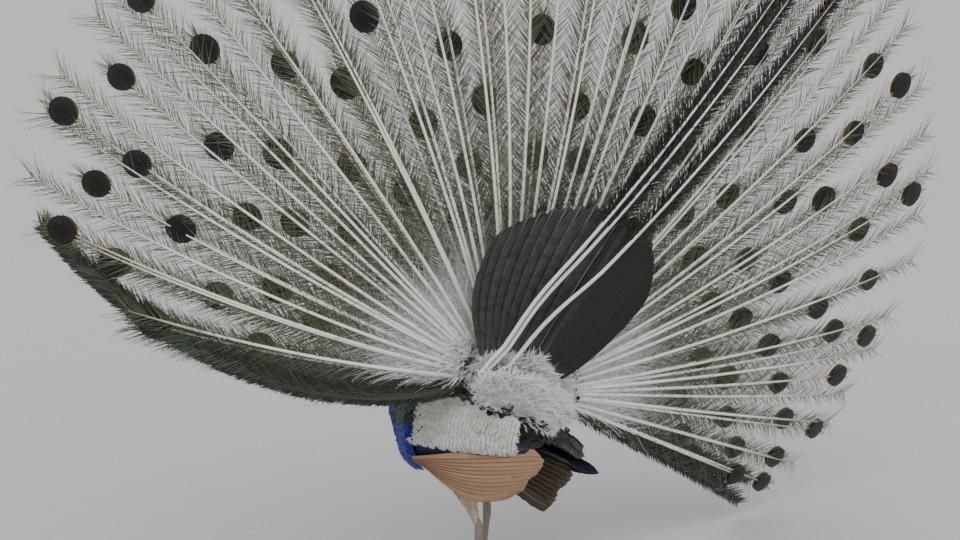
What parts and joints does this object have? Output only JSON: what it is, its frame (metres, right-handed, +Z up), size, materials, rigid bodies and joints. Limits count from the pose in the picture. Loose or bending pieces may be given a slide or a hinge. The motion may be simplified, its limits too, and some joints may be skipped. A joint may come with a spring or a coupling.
{
  "type": "displaying peacock figure",
  "caption": "Life-size peacock standing in full display, with its eyed train spread as a tall tilted fan, drooped wings, upright neck and small fan crest.",
  "frame": {"origin": "middle of the bounding box's underside, on the floor that the feet stand on", "axes": "+Z up, +Y the way the bird's body and bill face, +X to the bird's right"},
  "size_m": [1.8852, 1.007, 1.7456],
  "materials": {
    "body_plumage": "dark glossy feathers over flesh",
    "blue_plumage": "glossy short feathers over flesh",
    "eye": "wet and glossy",
    "bill": "horn, satin",
    "crest": "fine feathers on bare shafts",
    "thigh_plumage": "soft buff feathers over flesh",
    "leg_skin": "dry horny scales",
    "claw": "horn, satin",
    "barred_coverts": "matt feathers barred black and buff",
    "secondary_quills": "dark feathers with a blue-green gloss",
    "primary_quills": "matt chestnut feathers",
    "train": "loose green-bronze barbs on pale shafts",
    "tail_quills": "matt grey-brown feathers",
    "down": "soft pale down"
  },
  "bodies": {
    "root": {"trunk": "body_plumage", "neck_lower": "blue_plumage", "neck_upper": "blue_plumage", "eye_left": "eye", "eye_right": "eye", "head": "blue_plumage", "bill_upper": "bill", "bill_lower": "bill", "crest": "crest", "thigh_left": "thigh_plumage", "shank_left": "leg_skin", "claw_inner_left": "claw", "claw_middle_left": "claw", "claw_outer_left": "claw", "claw_hind_left": "claw", "foot_left": "leg_skin", "spur_left": "claw", "thigh_right": "thigh_plumage", "shank_right": "leg_skin", "claw_inner_right": "claw", "claw_middle_right": "claw", "claw_outer_right": "claw", "claw_hind_right": "claw", "foot_right": "leg_skin", "spur_right": "claw", "wing_coverts_left": "barred_coverts", "wing_secondaries_left": "secondary_quills", "wing_primaries_left": "primary_quills", "wing_coverts_right": "barred_coverts", "wing_secondaries_right": "secondary_quills", "wing_primaries_right": "primary_quills", "train_root": "train", "train_01": "train", "train_02": "train", "train_03": "train", "train_04": "train", "train_05": "train", "train_06": "train", "train_07": "train", "train_08": "train", "train_09": "train", "train_10": "train", "train_11": "train", "train_12": "train", "train_13": "train", "tail_left": "tail_quills", "tail_right": "tail_quills", "under_tail": "down"}
  },
  "joints": []
}
